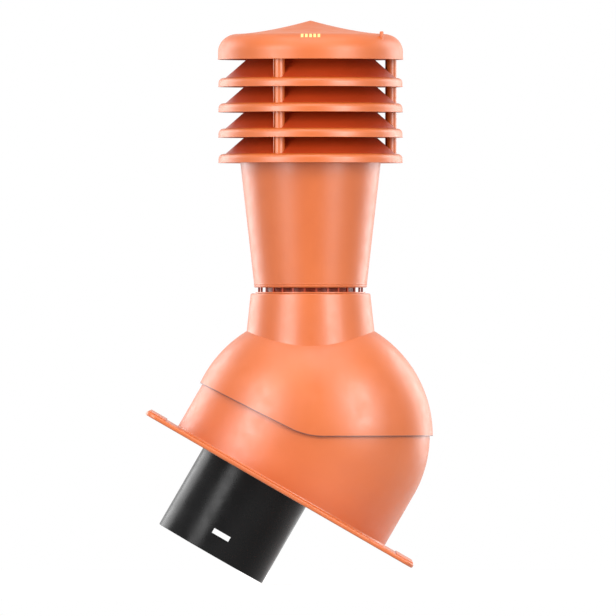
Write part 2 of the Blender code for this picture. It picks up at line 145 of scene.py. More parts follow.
def lathe(name, section, corners, centre=(0.0, 0.0)):
    """One circle extruded and resized along a section of (radius, height) points."""
    bpy.ops.object.select_all(action="DESELECT")
    radius, height = section[0]
    bpy.ops.mesh.primitive_circle_add(vertices=corners, radius=radius, location=(*centre, height))
    piece = bpy.context.active_object
    piece.name = name
    bpy.ops.object.transform_apply(location=True)
    bpy.ops.object.mode_set(mode="EDIT")
    bpy.ops.mesh.select_all(action="SELECT")
    for here, there in zip(section, section[1:]):
        bpy.ops.mesh.extrude_edges_move(TRANSFORM_OT_translate={"value": (0, 0, there[1] - here[1])})
        share = there[0] / here[0]
        bpy.ops.transform.resize(value=(share, share, 1), center_override=(*centre, there[1]))
    bpy.ops.mesh.select_all(action="SELECT")
    bpy.ops.mesh.remove_doubles(threshold=MERGE)
    bpy.ops.mesh.fill_holes(sides=0)
    bpy.ops.mesh.select_all(action="SELECT")
    bpy.ops.mesh.normals_make_consistent(inside=False)
    bpy.ops.object.mode_set(mode="OBJECT")
    return piece


def combine(piece, tool, operation):
    """Applies a Boolean with a tool piece, which is used up."""
    boolean = piece.modifiers.new("combine", "BOOLEAN")
    boolean.operation = operation
    boolean.object = tool
    boolean.solver = "MANIFOLD"
    take(piece)
    bpy.ops.object.modifier_apply(modifier="combine")
    bpy.data.objects.remove(tool)


def soften(piece, width, segments=2):
    """Rounds a piece's sharp edges a little, so that they catch the light."""
    bevel = piece.modifiers.new("soften", "BEVEL")
    bevel.width = width
    bevel.segments = segments
    bevel.limit_method = "ANGLE"
    bevel.angle_limit = SHARP_ANGLE
    bevel.use_clamp_overlap = True
    take(piece)
    bpy.ops.object.modifier_apply(modifier="soften")


def give_wall(piece, thickness):
    """Gives an open skin an even wall on its inner side."""
    wall = piece.modifiers.new("wall", "SOLIDIFY")
    wall.thickness = thickness
    wall.offset = -1
    wall.use_even_offset = True
    take(piece)
    bpy.ops.object.modifier_apply(modifier="wall")


def finish_piece(piece, node, body, material):
    """Shades a piece, gives it its material and puts it in the place of a CAD node."""
    take(piece)
    bpy.ops.object.shade_smooth_by_angle(angle=SMOOTH_ANGLE)
    piece.data.materials.clear()
    piece.data.materials.append(material)
    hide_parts(node)
    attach(piece, body)
    print(piece.name, len(piece.data.polygons), "faces")


# %% [markdown]
# ## Terracotta plastic
#
# The real plastic is coloured through, like a clay tile, and satin: the mould leaves a very fine grain,
# the melt leaves faint clouds of lighter and darker colour, and the gloss varies a little with them. A
# single colour would look like paint, so one slow noise moves the colour, one medium noise moves the
# roughness and one fine noise makes the grain. All of them read Object coordinates, so they stay put on
# the piece.

# %% Terracotta material
TERRACOTTA_DEEP = (0.500, 0.096, 0.009, 1.0)
TERRACOTTA_PALE = (0.560, 0.116, 0.014, 1.0)
TERRACOTTA_ROUGHNESS = 0.40
TERRACOTTA_GRAIN = 0.12
CLOUD_SCALE = 14.0
GLOSS_SCALE = 70.0
GLOSS_SPREAD = 0.05
GRAIN_SCALE = 1400.0
GRAIN_DEPTH = 0.0002
NOISE_LOW = 0.3
NOISE_HIGH = 0.7
PLASTIC_IOR = 1.5


def add_noise(tree, coordinates, scale, detail):
    """A noise texture on the piece's own coordinates."""
    noise = tree.nodes.new("ShaderNodeTexNoise")
    noise.inputs["Scale"].default_value = scale
    noise.inputs["Detail"].default_value = detail
    tree.links.new(coordinates.outputs["Object"], noise.inputs["Vector"])
    return noise


def spread(tree, source, low, high):
    """Maps a noise's middle values to a range."""
    span = tree.nodes.new("ShaderNodeMapRange")
    span.inputs["From Min"].default_value = NOISE_LOW
    span.inputs["From Max"].default_value = NOISE_HIGH
    span.inputs["To Min"].default_value = low
    span.inputs["To Max"].default_value = high
    tree.links.new(source, span.inputs["Value"])
    return span.outputs["Result"]


def colour_between(tree, share, first, second):
    """A colour between two others."""
    mix = tree.nodes.new("ShaderNodeMix")
    mix.data_type = "RGBA"
    mix.inputs["A"].default_value = first
    mix.inputs["B"].default_value = second
    tree.links.new(share, mix.inputs["Factor"])
    return mix.outputs["Result"]


def moulded_plastic(name, deep, pale, roughness, grain, gloss_level=0.85):
    """Satin moulded plastic with clouds in its colour, uneven gloss and a fine grain."""
    material = bpy.data.materials.new(name)
    material.use_nodes = True
    tree = material.node_tree
    shader = tree.nodes["Principled BSDF"]
    coordinates = tree.nodes.new("ShaderNodeTexCoord")
    clouds = add_noise(tree, coordinates, CLOUD_SCALE, 4.0)
    gloss = add_noise(tree, coordinates, GLOSS_SCALE, 3.0)
    speckle = add_noise(tree, coordinates, GRAIN_SCALE, 2.0)
    colour = colour_between(tree, spread(tree, clouds.outputs["Fac"], 0.0, 1.0), deep, pale)
    tree.links.new(colour, shader.inputs["Base Color"])
    uneven = spread(tree, gloss.outputs["Fac"], roughness - GLOSS_SPREAD, roughness + GLOSS_SPREAD)
    tree.links.new(uneven, shader.inputs["Roughness"])
    bump = tree.nodes.new("ShaderNodeBump")
    bump.inputs["Strength"].default_value = grain
    bump.inputs["Distance"].default_value = GRAIN_DEPTH
    tree.links.new(speckle.outputs["Fac"], bump.inputs["Height"])
    tree.links.new(bump.outputs["Normal"], shader.inputs["Normal"])
    shader.inputs["Metallic"].default_value = 0.0
    shader.inputs["IOR"].default_value = PLASTIC_IOR
    shader.inputs["Specular IOR Level"].default_value = gloss_level
    return material


terracotta = moulded_plastic(
    "terracotta", TERRACOTTA_DEEP, TERRACOTTA_PALE, TERRACOTTA_ROUGHNESS, TERRACOTTA_GRAIN
)
print("terracotta between", TERRACOTTA_DEEP[:3], "and", TERRACOTTA_PALE[:3])

# %% [markdown]
# ## Black duct plastic
#
# The pipe is a black moulding of the same kind, smoother but with a weaker sheen, since the photograph
# shows it nearly plain black. Black plastic is never quite black: handling greys it, so its clouds are a
# shade lighter than the rest.

# %% Black material
BLACK_DEEP = (0.0022, 0.0022, 0.0024, 1.0)
BLACK_PALE = (0.0048, 0.0048, 0.0052, 1.0)
black_plastic = moulded_plastic(
    "black_plastic", BLACK_DEEP, BLACK_PALE, roughness=0.27, grain=0.10, gloss_level=0.14
)
print("black between", BLACK_DEEP[0], "and", BLACK_PALE[0])

# %% [markdown]
# ## Louvre rings
#
# Four equal rings. Each has a rim with a rounded upper edge and a skirt that rises inwards, so that rain
# runs off outwards while air passes. Three posts on each carry the next ring: a round column with one
# sharp flute down its left side. One ring is modelled, then copied with a mesh of its own for each place.

# %% Louvre ring section
TURN_CORNERS = 160
RING_WALL = 0.0020
ring_low, ring_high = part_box("louvre_ring_4")
RING_RADIUS = ring_high[0]
RIM_HEIGHT = 0.0095
RIM_ROUNDING = 0.0054
SKIRT_RADIUS = 0.0889
SKIRT_BORE = 0.0629
SKIRT_SLOPE = math.radians(41.9)
SKIRT_EASE = 0.0006
SKIRT_LIFT = 0.0001
SMALL_ROUND = 0.0004
BEAD_HEIGHT = 0.0010
BEAD_SWELL = 0.0003


def bead(radius, foot):
    """A fine bead round a rim's lower edge, in section from its top to the foot."""
    points = arc((radius, foot + BEAD_HEIGHT), (BEAD_SWELL, BEAD_HEIGHT / 4), 90, 0, 2)
    foot_centre = (radius + BEAD_SWELL - SMALL_ROUND, foot + SMALL_ROUND)
    points += arc(foot_centre, (SMALL_ROUND, SMALL_ROUND), 0, -90, 3)
    return points


def ring_section():
    """A ring's section, from the skirt's upper edge down its outer side and back inside."""
    rise = (SKIRT_RADIUS - SKIRT_BORE) * math.tan(SKIRT_SLOPE)
    underside = RIM_HEIGHT - RING_WALL
    across = RING_WALL * math.sin(SKIRT_SLOPE)
    down = RING_WALL * math.cos(SKIRT_SLOPE)
    inner_start = SKIRT_RADIUS - RING_WALL * math.tan(SKIRT_SLOPE / 2)
    inner_wall = RING_RADIUS - RING_WALL
    section = [(SKIRT_BORE, RIM_HEIGHT + rise)]
    section.append((SKIRT_RADIUS + SKIRT_EASE, RIM_HEIGHT + SKIRT_LIFT))
    rim_centre = (RING_RADIUS - RIM_ROUNDING, RIM_HEIGHT - RIM_ROUNDING)
    section += arc(rim_centre, (RIM_ROUNDING, RIM_ROUNDING), 90, 0, 10)
    section += bead(RING_RADIUS, 0)
    section += [(inner_wall + SMALL_ROUND, 0), (inner_wall, SMALL_ROUND), (inner_wall, underside)]
    section += [(inner_start, underside), (SKIRT_BORE - across, RIM_HEIGHT + rise - down)]
    section.append(section[0])
    return section


louvre_ring = lathe("louvre_ring_4_moulding", ring_section(), TURN_CORNERS)
print("ring radius", round(RING_RADIUS, 4))

# %% [markdown]
# ## Posts
#
# A post is a cylinder, and its flute is made by hand: one narrow column of side faces is selected by its
# direction and pushed into the post. The post's foot is sunk in the ring and joined to it, as in the
# mould.

# %% Posts on the ring
POST_RADIUS = 0.0060
POST_CIRCLE = 0.0853
POST_ANGLE = math.radians(7.2)
POST_FOOT = RIM_HEIGHT - RING_WALL / 2
POST_HEAD = ring_high[2] - ring_low[2]
POST_CORNERS = 40
POST_COUNT = 3
FLUTE_DEPTH = 0.0016
FLUTE_TURN = math.radians(212)
FLUTE_COLUMNS = 2


def make_post(number, foot, head):
    """One post with a flute down its left side, at its place round the ring."""
    angle = POST_ANGLE + number * math.tau / POST_COUNT
    place = (POST_CIRCLE * math.cos(angle), POST_CIRCLE * math.sin(angle), (foot + head) / 2)
    bpy.ops.object.select_all(action="DESELECT")
    bpy.ops.mesh.primitive_cylinder_add(
        vertices=POST_CORNERS, radius=POST_RADIUS, depth=head - foot, location=place
    )
    post = bpy.context.active_object
    post.name = "post"
    bpy.ops.object.transform_apply(location=True)
    flute = Vector((math.cos(FLUTE_TURN), math.sin(FLUTE_TURN), 0))
    limit = math.cos(math.pi / POST_CORNERS * FLUTE_COLUMNS)
    select_faces(post, lambda face: face.normal.dot(flute) > limit)
    bpy.ops.object.mode_set(mode="EDIT")
    bpy.ops.mesh.extrude_region_move(TRANSFORM_OT_translate={"value": tuple(-FLUTE_DEPTH * flute)})
    bpy.ops.mesh.select_all(action="SELECT")
    bpy.ops.mesh.normals_make_consistent(inside=False)
    bpy.ops.object.mode_set(mode="OBJECT")
    return post


for number in range(POST_COUNT):
    combine(louvre_ring, make_post(number, POST_FOOT, POST_HEAD), "UNION")
print("posts reach", round(POST_HEAD, 4), "above the rim's lower edge")

# %% [markdown]
# ## The stack of rings
#
# The lowest ring sits on the mast, and each higher one on the posts of the one below. Each copy gets its
# own mesh, because a copied piece that shared one could not have its place in its mesh. The skirts lie in
# the shade of the ring above, so those faces, found by their slope, get a darker, deeper red with less
# sheen: painted shade.

# %% Copy the ring up the stack
# Painted shade: a darker, deeper red for faces that lie in shade between the parts.
PAINTED_SHADE_DEEP = (0.350, 0.032, 0.0045, 1.0)
PAINTED_SHADE_PALE = (0.400, 0.040, 0.0060, 1.0)
SLOPE_MARGIN = 0.05
painted_shade_terracotta = moulded_plastic(
    "painted_shade_terracotta", PAINTED_SHADE_DEEP, PAINTED_SHADE_PALE, roughness=0.44, grain=TERRACOTTA_GRAIN, gloss_level=0.4
)


def paint_shade(piece, in_shade):
    """Gives the darker plastic, painted shade, to the faces of a piece that pass a test."""
    piece.data.materials.append(painted_shade_terracotta)
    for face in piece.data.polygons:
        if in_shade(face):
            face.material_index = 1


def on_skirt(face):
    """Whether a ring's face lies on its skirt."""
    slanting = abs(face.normal.z - math.cos(SKIRT_SLOPE)) < SLOPE_MARGIN
    return slanting and face.center.xy.length < SKIRT_RADIUS


rings = [louvre_ring]
for number in (3, 2, 1):
    copy = louvre_ring.copy()
    copy.data = louvre_ring.data.copy()
    copy.name = f"louvre_ring_{number}_moulding"
    bpy.context.scene.collection.objects.link(copy)
    rings.append(copy)
for number, ring in zip((4, 3, 2, 1), rings):
    ring.location.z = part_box(f"louvre_ring_{number}")[0][2]
    to_world(ring)
    finish_piece(ring, f"louvre_ring_{number}", "hood", terracotta)
    # The skirts get the darker red of painted shade.
    paint_shade(ring, on_skirt)

# %% [markdown]
# ## Cap
#
# The cap is a wide hollow-sided cone with a round shoulder and an upright rim, thin-walled and open
# below. The cone's section is a power curve, which falls steeply near the tip and runs out flat at the
# shoulder. It is turned like the rings. Bosses inside meet the posts of the highest ring, and a small peg
# stands on top.

# %% Cap
cap_low, cap_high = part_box("cap")
CAP_RADIUS = cap_high[0]
CAP_FOOT = cap_low[2]
CAP_WALL = 0.0020
CAP_HEIGHT = cap_high[2] - CAP_FOOT
CAP_RIM_HEIGHT = 0.0081
CAP_SHOULDER_RADIUS = 0.0770
CAP_SHOULDER_HEIGHT = 0.0270
CONE_POWER = 1.5
CONE_STEPS = 14
CONE_CROWDING = 1.3
TIP_SHARE = 0.008


def cap_skin(thinner):
    """The cap's outer section drawn in by a thickness, from its tip to its rim."""
    points = []
    shoulder_height = CAP_SHOULDER_HEIGHT - thinner
    for step in range(CONE_STEPS):
        share = TIP_SHARE + (1 - TIP_SHARE) * (step / CONE_STEPS) ** CONE_CROWDING
        rise = (CAP_HEIGHT - CAP_SHOULDER_HEIGHT) * (1 - share) ** CONE_POWER
        points.append((CAP_SHOULDER_RADIUS * share, CAP_FOOT + shoulder_height + rise))
    centre = (CAP_SHOULDER_RADIUS, CAP_FOOT + CAP_RIM_HEIGHT)
    radii = (CAP_RADIUS - thinner - CAP_SHOULDER_RADIUS, shoulder_height - CAP_RIM_HEIGHT)
    return points + arc(centre, radii, 90, 0, 16)


cap_inside = cap_skin(CAP_WALL)
cap_inside.append((CAP_RADIUS - CAP_WALL, CAP_FOOT))
cap_section = cap_skin(0) + bead(CAP_RADIUS, CAP_FOOT) + cap_inside[::-1]
cap = lathe("cap_moulding", cap_section, TURN_CORNERS)

BOSS_GAP = 0.0003
BOSS_HEAD = CAP_FOOT + CAP_RIM_HEIGHT + 0.0125
boss_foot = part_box("louvre_ring_1")[0][2] + POST_HEAD + BOSS_GAP
for number in range(POST_COUNT):
    combine(cap, make_post(number, boss_foot, BOSS_HEAD), "UNION")

PEG_CORNERS = 24
PEG_RADIUS = 0.0021
PEG_FOOT = CAP_FOOT + 0.0198
PEG_TOP = CAP_FOOT + 0.0292
PEG_CIRCLE = 0.0896
PEG_ANGLE = math.radians(-33.5)
PEG_ROUND = 0.0012
peg_section = [(PEG_RADIUS, PEG_FOOT)]
peg_section += arc((PEG_RADIUS - PEG_ROUND, PEG_TOP - PEG_ROUND), (PEG_ROUND, PEG_ROUND), 0, 90, 5)
peg_place = (PEG_CIRCLE * math.cos(PEG_ANGLE), PEG_CIRCLE * math.sin(PEG_ANGLE))
combine(cap, lathe("peg", peg_section, PEG_CORNERS, peg_place), "UNION")
print("cap from", round(CAP_FOOT, 4), "to", round(cap_high[2], 4))

# %% [markdown]
# ## The cap's mark
#
# The cap bears a small pale mark on its front slope, a row of plain short strokes. They are part of the
# material: a mask made from the Object coordinates picks out bars across X within a short stretch of
# height on the front side, and mixes the pale colour in there.

# %% Cap material with plain strokes
STROKE_COLOUR = (0.93, 0.70, 0.22, 1.0)
STROKE_PITCH = 0.0044
STROKE_SHARE = 0.6
STROKE_COUNT = 5
MARK_LOW = CAP_FOOT + 0.0226
MARK_HIGH = CAP_FOOT + 0.0262
MARK_START = -STROKE_PITCH * (STROKE_COUNT - 1 + STROKE_SHARE) / 2
MARK_END = MARK_START + STROKE_PITCH * STROKE_COUNT


def with_number(tree, operation, value, number, added=0.0):
    """A Math node between a node's output and one or two numbers."""
    node = tree.nodes.new("ShaderNodeMath")
    node.operation = operation
    tree.links.new(value, node.inputs[0])
    node.inputs[1].default_value = number
    node.inputs[2].default_value = added
    return node.outputs[0]


def of_two(tree, operation, first, second):
    """A Math node between the outputs of two nodes."""
    node = tree.nodes.new("ShaderNodeMath")
    node.operation = operation
    tree.links.new(first, node.inputs[0])
    tree.links.new(second, node.inputs[1])
    return node.outputs[0]


def paint_over(material, mask, colour):
    """Mixes a colour over a material's own, as far as a mask says."""
    tree = material.node_tree
    base = tree.nodes["Principled BSDF"].inputs["Base Color"]
    mix = tree.nodes.new("ShaderNodeMix")
    mix.data_type = "RGBA"
    mix.inputs["B"].default_value = colour
    tree.links.new(mask, mix.inputs["Factor"])
    tree.links.new(base.links[0].from_socket, mix.inputs["A"])
    tree.links.new(mix.outputs["Result"], base)


cap_plastic = moulded_plastic(
    "cap_terracotta",
    TERRACOTTA_DEEP,
    TERRACOTTA_PALE,
    roughness=0.46,
    grain=TERRACOTTA_GRAIN,
    gloss_level=0.75,
)
cap_tree = cap_plastic.node_tree
place = cap_tree.nodes.new("ShaderNodeSeparateXYZ")
cap_coordinates = cap_tree.nodes.new("ShaderNodeTexCoord")
cap_tree.links.new(cap_coordinates.outputs["Object"], place.inputs[0])
sideways = with_number(cap_tree, "SUBTRACT", place.outputs["X"], MARK_START)
repeated = with_number(cap_tree, "FLOORED_MODULO", sideways, STROKE_PITCH)
mask = with_number(cap_tree, "LESS_THAN", repeated, STROKE_PITCH * STROKE_SHARE)
for direction, operation, limit in (
    ("X", "GREATER_THAN", MARK_START),
    ("X", "LESS_THAN", MARK_END),
    ("Z", "GREATER_THAN", MARK_LOW),
    ("Z", "LESS_THAN", MARK_HIGH),
    ("Y", "LESS_THAN", -CAP_RADIUS / 2),
):
    inside = with_number(cap_tree, operation, place.outputs[direction], limit)
    mask = of_two(cap_tree, "MULTIPLY", mask, inside)
paint_over(cap_plastic, mask, STROKE_COLOUR)
finish_piece(cap, "cap", "hood", cap_plastic)

# %% [markdown]
# ## Mast
#
# A conical tube, wider at its top, where it goes up inside the lowest ring. Two fine beads run round its
# foot. The foot closes inwards onto a crown: a short collar with a ring of windows that stands in the
# neck. An upright tube inside the crown keeps rain out of the mast. The whole piece is turned, and the
# windows are cut through the crown with a ring of small blocks. The crown lies in shade under the mast's
# foot, so it gets the same darker red: painted shade.

# %% Mast
mast_low, mast_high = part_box("mast")
NECK_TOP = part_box("swivel_hood")[1][2]
SEAT_GAP = 0.0003
MAST_FOOT = NECK_TOP + 0.0063
LOUVRE_FOOT = ring_low[2]
MAST_FOOT_RADIUS = 0.0590
MAST_TOP_RADIUS = 0.0739
MAST_WALL = 0.0022
MAST_STEPS = 8
FOOT_BAND = 0.006
FOOT_EASE = 0.0003
CROWN_RADIUS = 0.0555
CROWN_WALL = 0.0020
CROWN_WINDOWS = 28
CROWN_MARGIN = 0.001
SEAT_WIDTH = 0.0023
SEAT_HEIGHT = 0.0012
TOOTH_WIDTH = 0.0018
UPSTAND_RADIUS = 0.0435
UPSTAND_WALL = 0.0015
UPSTAND_RISE = 0.0090
BEAD_PLACES = (0.0014, 0.0034)
BEAD_SHAPE = ((0.0007, 0), (0.0003, 0.00035), (-0.0003, 0.00035), (-0.0007, 0))


def mast_radius(height):
    """The mast's outer radius at a height."""
    share = (height - MAST_FOOT) / (LOUVRE_FOOT - MAST_FOOT)
    return MAST_FOOT_RADIUS + (MAST_TOP_RADIUS - MAST_FOOT_RADIUS) * share


def mast_section():
    """The mast's section, from its upper edge down its outer side and back up inside."""
    seat = NECK_TOP + SEAT_GAP
    crown_inside = CROWN_RADIUS - CROWN_WALL
    upstand_outside = UPSTAND_RADIUS + UPSTAND_WALL
    section = [(MAST_TOP_RADIUS, mast_high[2]), (MAST_TOP_RADIUS, LOUVRE_FOOT)]
    for step in range(1, MAST_STEPS + 1):
        height = LOUVRE_FOOT + (MAST_FOOT + FOOT_BAND - LOUVRE_FOOT) * step / MAST_STEPS
        section.append((mast_radius(height), height))
    for middle in reversed(BEAD_PLACES):
        for offset, swell in BEAD_SHAPE:
            height = MAST_FOOT + middle + offset
            section.append((mast_radius(height) + swell, height))
    section += [(MAST_FOOT_RADIUS, MAST_FOOT + FOOT_EASE), (MAST_FOOT_RADIUS - FOOT_EASE, MAST_FOOT)]
    section += [(CROWN_RADIUS, MAST_FOOT), (CROWN_RADIUS, seat + SEAT_HEIGHT)]
    section += [(CROWN_RADIUS + SEAT_WIDTH, seat + SEAT_HEIGHT), (CROWN_RADIUS + SEAT_WIDTH, seat)]
    section += [(CROWN_RADIUS, seat), (CROWN_RADIUS, mast_low[2]), (crown_inside, mast_low[2])]
    section += [(crown_inside, seat - CROWN_WALL / 2), (UPSTAND_RADIUS, seat - CROWN_WALL / 2)]
    section += [(UPSTAND_RADIUS, seat + UPSTAND_RISE), (upstand_outside, seat + UPSTAND_RISE)]
    section += [(upstand_outside, seat + CROWN_WALL / 2), (crown_inside, seat + CROWN_WALL / 2)]
    section += [(crown_inside, MAST_FOOT + MAST_WALL)]
    section += [(MAST_FOOT_RADIUS - MAST_WALL, MAST_FOOT + MAST_WALL)]
    section += [(MAST_TOP_RADIUS - MAST_WALL, LOUVRE_FOOT), (MAST_TOP_RADIUS - MAST_WALL, mast_high[2])]
    section.append(section[0])
    return section


mast = lathe("mast_moulding", mast_section(), TURN_CORNERS)


def make_windows():
    """Small blocks in a ring, one for each window of the crown."""
    bottom = NECK_TOP + SEAT_GAP + SEAT_HEIGHT
    width = math.tau * CROWN_RADIUS / CROWN_WINDOWS - TOOTH_WIDTH
    blocks = []
    for number in range(CROWN_WINDOWS):
        angle = number * math.tau / CROWN_WINDOWS
        reach = CROWN_RADIUS - CROWN_WALL / 2
        place = (reach * math.cos(angle), reach * math.sin(angle), (bottom + MAST_FOOT) / 2)
        bpy.ops.object.select_all(action="DESELECT")
        bpy.ops.mesh.primitive_cube_add(size=1, location=place, rotation=(0, 0, angle))
        block = bpy.context.active_object
        block.scale = (CROWN_WALL * 2, width, MAST_FOOT - bottom)
        blocks.append(block)
    bpy.ops.object.select_all(action="DESELECT")
    for block in blocks:
        block.select_set(True)
    bpy.context.view_layer.objects.active = blocks[0]
    bpy.ops.object.join()
    bpy.ops.object.transform_apply(location=True, rotation=True, scale=True)
    return blocks[0]


def on_crown(face):
    """Whether a face of the mast lies on the crown between neck and foot."""
    inward = face.center.xy.length < CROWN_RADIUS + CROWN_MARGIN
    return inward and NECK_TOP < face.center.z < MAST_FOOT


combine(mast, make_windows(), "DIFFERENCE")
finish_piece(mast, "mast", "hood", terracotta)
# The crown gets the darker red of painted shade.
paint_shade(mast, on_crown)

# %% [markdown]
# ## Hood
#
# The hood is the moving half of a ball-like joint that only turns one way: an oblate dome that slides
# round the tilt axis over the shell below, with a short neck for the mast. A sphere primitive, flattened
# along the axis, is joined to a turned neck. What hangs below the hood's edge is trimmed away by cutting
# planes. The edge is level downhill, rises uphill and is rounded between, so a fan of planes along that
# rounding does it.

# %% Hood skin
hood_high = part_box("swivel_hood")[1]
HOOD_RADIUS = hood_high[0]
HOOD_HALF_DEPTH = hood_high[1]
HOOD_WALL = 0.0020
EDGE_DROP = 0.0007
EDGE_CORNER = 0.0048
EDGE_RISE = 26.6
EDGE_FILLET = 0.080
NECK_RADIUS = 0.0632
NECK_TAPER = 0.1075
NECK_ROUNDING = 0.0018
NECK_ROOT = 0.0729  # above the tilt axis
CROWN_CLEARANCE = 0.0005
TOP_MARGIN = 0.0001
BALL_CORNERS = 192


def oblate_ball(name, radius, half_depth, centre):
    """A sphere with its poles on the tilt axis, flattened along it."""
    bpy.ops.object.select_all(action="DESELECT")
    bpy.ops.mesh.primitive_uv_sphere_add(
        segments=BALL_CORNERS,
        ring_count=BALL_CORNERS // 2,
        radius=1,
        location=centre,
        rotation=(math.radians(90), 0, 0),
    )
    ball = bpy.context.active_object
    ball.name = name
    ball.scale = (radius, radius, half_depth)
    to_world(ball)
    return ball


def trim(piece, point, normal):
    """Cuts a piece at a plane and drops what lies on the normal's side."""
    take(piece)
    bpy.ops.object.mode_set(mode="EDIT")
    bpy.ops.mesh.select_all(action="SELECT")
    bpy.ops.mesh.bisect(plane_co=point, plane_no=normal, clear_outer=True, threshold=MERGE)
    bpy.ops.object.mode_set(mode="OBJECT")


neck_root = TILT_AXIS.z + NECK_ROOT
neck_edge = NECK_TOP - NECK_ROUNDING
neck_root_radius = NECK_RADIUS + NECK_TAPER * (neck_edge - neck_root)
neck_section = [(CROWN_RADIUS + CROWN_CLEARANCE, NECK_TOP)]
neck_section += arc((NECK_RADIUS - NECK_ROUNDING, neck_edge), (NECK_ROUNDING, NECK_ROUNDING), 90, 0, 6)
neck_section.append((neck_root_radius, neck_root))
hood = oblate_ball("hood_moulding", HOOD_RADIUS, HOOD_HALF_DEPTH, TILT_AXIS)
combine(hood, lathe("neck", neck_section, TURN_CORNERS), "UNION")
print("hood and neck joined:", len(hood.data.polygons), "faces")

# %% [markdown]
# ## Hood edge and wall
#
# The trimmed skin is opened at the neck's top and given its wall by a Solidify modifier.

# %% Hood edge, opening and wall
tangent = EDGE_FILLET * math.tan(math.radians(EDGE_RISE / 2))
fillet_centre = Vector((tangent - EDGE_CORNER, 0, TILT_AXIS.z - EDGE_DROP + EDGE_FILLET))
FILLET_CUTS = 8
edge_planes = []
for step in range(FILLET_CUTS + 1):
    turn = math.radians(-90 - EDGE_RISE * step / FILLET_CUTS)
    outward = Vector((math.cos(turn), 0, math.sin(turn)))
    edge_planes.append((fillet_centre + EDGE_FILLET * outward, outward))
    trim(hood, *edge_planes[-1])


def over_the_bore(face):
    """Whether a face of the hood closes the neck's top."""
    return face.center.z > NECK_TOP - TOP_MARGIN and face.center.xy.length < CROWN_RADIUS


cut_away(hood, over_the_bore)
give_wall(hood, HOOD_WALL)
print("hood with its wall:", len(hood.data.polygons), "faces")

# %% [markdown]
# ## The line under the hood
#
# A fine dark line along the hood's lower edge is painted shadow: the shade under the edge. The mask is a
# distance: each cutting plane is some way off, and the nearest one is the edge.

# %% Hood material with a painted shadow line
# Painted shadow: the colour and reach of the dark line under the hood's edge.
EDGE_SHADOW_COLOUR = (0.120, 0.021, 0.007, 1.0)
EDGE_SHADOW_FULL = 0.0006
EDGE_SHADOW_END = 0.0013
hood_plastic = moulded_plastic(
    "hood_terracotta", TERRACOTTA_DEEP, TERRACOTTA_PALE, TERRACOTTA_ROUGHNESS, TERRACOTTA_GRAIN
)
hood_tree = hood_plastic.node_tree
hood_coordinates = hood_tree.nodes.new("ShaderNodeTexCoord")
nearest = None
for point, outward in edge_planes:
    along = hood_tree.nodes.new("ShaderNodeVectorMath")
    along.operation = "DOT_PRODUCT"
    along.inputs[1].default_value = outward
    hood_tree.links.new(hood_coordinates.outputs["Object"], along.inputs[0])
    away = with_number(hood_tree, "MULTIPLY_ADD", along.outputs["Value"], -1, point.dot(outward))
    nearest = away if nearest is None else of_two(hood_tree, "MINIMUM", nearest, away)
fade = hood_tree.nodes.new("ShaderNodeMapRange")
fade.inputs["From Min"].default_value = EDGE_SHADOW_FULL
fade.inputs["From Max"].default_value = EDGE_SHADOW_END
fade.inputs["To Min"].default_value = 1.0
fade.inputs["To Max"].default_value = 0.0
hood_tree.links.new(nearest, fade.inputs["Value"])
# The dark line along the hood's edge is painted shadow.
paint_over(hood_plastic, fade.outputs["Result"], EDGE_SHADOW_COLOUR)
finish_piece(hood, "swivel_hood", "hood", hood_plastic)

# %% [markdown]
# ## Roof plate and shell
#
# The plate and the lower shell are one moulding. In the roof's own frame the plate is level, so
# everything is modelled level there and turned to the slope at the end. The shell is the upper half of
# another flattened sphere, with its open edge extruded down as straight flanks and flared a little where
# it meets the plate.

# %% The slope's frame
ROOF_PITCH = math.radians(30)
AXIS_HEIGHT = TILT_AXIS.z * math.cos(ROOF_PITCH)
slope = (
    Matrix.Translation(TILT_AXIS)
    @ Matrix.Rotation(ROOF_PITCH, 4, "Y")
    @ Matrix.Translation((0, 0, -AXIS_HEIGHT))
)


def lay_on_slope(piece):
    """Turns a piece from the roof's level frame to its place on the slope."""
    piece.matrix_world = slope @ piece.matrix_world
    to_world(piece)


print("tilt axis", round(AXIS_HEIGHT, 4), "above the roof")

# %% [markdown]
# ## Shell
#
# The dome has to slide under the hood with an even gap, so its size is the hood's less the hood's wall
# and the gap. Its flare is a quarter turn at the foot, as a moulding has where it meets its plate.

# %% Shell
CLEARANCE = 0.0012
SHELL_RADIUS = HOOD_RADIUS - HOOD_WALL - CLEARANCE
SHELL_HALF_DEPTH = HOOD_HALF_DEPTH - HOOD_WALL - CLEARANCE
SHELL_WALL = 0.0022
PLATE_THICKNESS = 0.0045
FLARE = 0.0022
shell_centre = Vector((0, 0, AXIS_HEIGHT))
shell = oblate_ball("shell", SHELL_RADIUS, SHELL_HALF_DEPTH, shell_centre)
trim(shell, shell_centre, Vector((0, 0, -1)))


def select_rim(piece):
    """Selects the open edge of a piece, which stays in edit mode."""
    take(piece)
    bpy.ops.object.mode_set(mode="EDIT")
    bpy.ops.mesh.select_mode(type="EDGE")
    bpy.ops.mesh.select_all(action="DESELECT")
    bpy.ops.mesh.select_non_manifold(
        extend=False, use_wire=False, use_multi_face=False, use_non_contiguous=False, use_verts=False
    )


